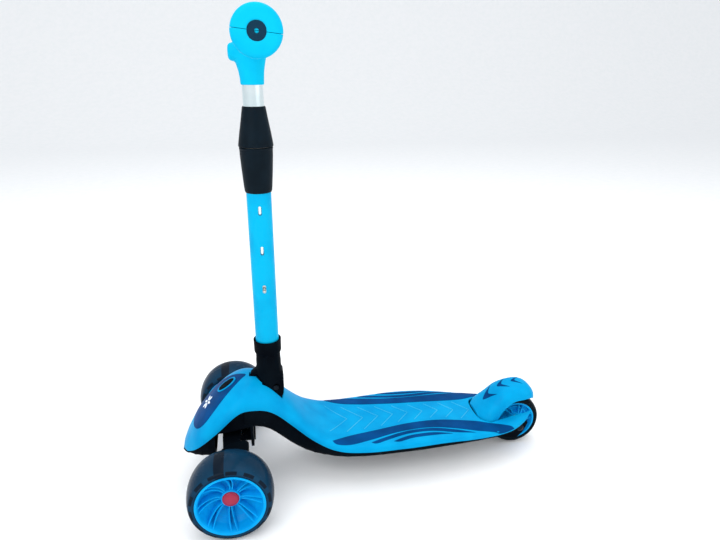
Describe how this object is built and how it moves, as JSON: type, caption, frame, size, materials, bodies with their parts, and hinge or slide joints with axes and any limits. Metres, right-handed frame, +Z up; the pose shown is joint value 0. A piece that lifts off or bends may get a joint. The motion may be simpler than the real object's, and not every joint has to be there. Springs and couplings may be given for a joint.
{
  "type": "kick scooter",
  "caption": "Three-wheeled kick scooter for children with a lean-to-steer front truck, folding and height-adjustable handlebar, and a foot brake.",
  "frame": {"origin": "on the ground, under the middle of the whole scooter", "axes": "-X forward to the nose, +Y across to the right-hand side as seen by the camera, +Z up"},
  "size_m": [0.5939, 0.3168, 0.6874],
  "materials": {
    "abs_blue": "glossy moulded ABS",
    "abs_navy": "satin moulded ABS",
    "nylon_black": "satin moulded glass-filled nylon",
    "pp_blue_grip": "satin moulded polypropylene",
    "pu_smoke": "cast translucent polyurethane",
    "pu_dark": "cast polyurethane",
    "core_black": "moulded",
    "paint_blue": "gloss powder coat on steel tube",
    "aluminium_mast": "polished and clear anodised",
    "steel_zinc": "zinc plated",
    "spring_steel": "oiled",
    "bearing_steel": "ground",
    "nylon_natural": "moulded",
    "abs_red": "glossy moulded",
    "abs_white": "printed",
    "rubber_black": "moulded"
  },
  "bodies": {
    "deck": {"deck_cover": "abs_blue", "chassis": "nylon_black", "nose_panel": "abs_navy", "nose_emblem": "abs_white", "inlay_left": "abs_navy", "inlay_right": "abs_navy", "button_bezel": "abs_blue", "button_guide": "nylon_black", "button_spring": "spring_steel", "fold_pin": "steel_zinc", "kingpin": "steel_zinc", "rear_axle": "steel_zinc", "rear_nut": "steel_zinc", "rear_spacers": "steel_zinc", "brake_pin": "steel_zinc", "brake_spring": "spring_steel", "stiffener": "aluminium_mast", "deck_screws": "steel_zinc"},
    "fold_release": {"fold_button": "nylon_black"},
    "stem": {"stem_socket": "nylon_black", "socket_rim": "nylon_black", "stem_tube": "paint_blue", "socket_screws": "steel_zinc", "collar_lower": "nylon_black", "collet": "nylon_natural"},
    "twist_collar": {"collar_nut": "nylon_black"},
    "handlebar": {"mast_tube": "aluminium_mast", "mast_guide": "nylon_natural", "snap_spring": "spring_steel", "cross_tube": "aluminium_mast", "handlebar_upper": "pp_blue_grip", "handlebar_lower": "pp_blue_grip", "end_plugs": "nylon_black", "bar_screws": "steel_zinc"},
    "height_button": {"snap_button": "nylon_black"},
    "truck": {"truck_beam": "nylon_black", "kingpin_bush": "nylon_natural", "steer_springs": "spring_steel", "front_axles": "steel_zinc", "front_nuts": "steel_zinc"},
    "front_wheel_left": {"front_tyre_left": "pu_smoke", "light_core_left": "core_black", "front_hub_left": "abs_blue", "front_bearings_left": "bearing_steel", "bearing_spacer_left": "steel_zinc", "hub_cap_left": "abs_red"},
    "front_wheel_right": {"front_tyre_right": "pu_smoke", "light_core_right": "core_black", "front_hub_right": "abs_blue", "front_bearings_right": "bearing_steel", "bearing_spacer_right": "steel_zinc", "hub_cap_right": "abs_red"},
    "rear_wheel": {"rear_tyre": "pu_dark", "rear_hub": "abs_blue", "rear_bearings": "bearing_steel", "rear_bearing_spacer": "steel_zinc"},
    "brake": {"brake_fender": "abs_blue", "brake_pad": "rubber_black", "fender_chevrons": "abs_navy"}
  },
  "joints": [
    {"name": "stem_fold", "type": "hinge", "parent": "deck", "child": "stem", "pos_m": [-0.15095, 0, 0.155], "axis": [0, 1, 0], "range_deg": [0, 84]},
    {"name": "collar_twist", "type": "hinge", "parent": "stem", "child": "twist_collar", "pos_m": [-0.15995, 0, 0.545], "axis": [0, 0, 1], "range_deg": [0, 90]},
    {"name": "height_slide", "type": "slide", "parent": "stem", "child": "handlebar", "axis": [0, 0, 1], "range_m": [0, 0.116]},
    {"name": "height_lock", "type": "slide", "parent": "handlebar", "child": "height_button", "axis": [0, -1, 0], "range_m": [0, 0.0025]},
    {"name": "lean_steer", "type": "hinge", "parent": "deck", "child": "truck", "pos_m": [-0.22495, 0, 0.086], "axis": [-0.7071, 0, 0.7071], "range_deg": [-12, 12], "stiffness_Nm_per_rad": 40, "deforming": ["steer_springs"]},
    {"name": "front_spin_left", "type": "hinge", "parent": "truck", "child": "front_wheel_left", "pos_m": [-0.22295, -0.131, 0.06], "axis": [0, 1, 0], "continuous": true},
    {"name": "front_spin_right", "type": "hinge", "parent": "truck", "child": "front_wheel_right", "pos_m": [-0.22295, 0.131, 0.06], "axis": [0, 1, 0], "continuous": true},
    {"name": "rear_spin", "type": "hinge", "parent": "deck", "child": "rear_wheel", "pos_m": [0.25275, 0, 0.0442], "axis": [0, 1, 0], "continuous": true},
    {"name": "brake_press", "type": "hinge", "parent": "deck", "child": "brake", "pos_m": [0.18975, 0, 0.055], "axis": [0, 1, 0], "range_deg": [0, 4], "stiffness_Nm_per_rad": 4, "springref_deg": -5.73},
    {"name": "fold_press", "type": "slide", "parent": "deck", "child": "fold_release", "axis": [0.5592, 0, -0.829], "range_m": [0, 0.004], "stiffness_N_per_m": 700, "springref_m": -0.002, "deforming": ["button_spring"]}
  ]
}
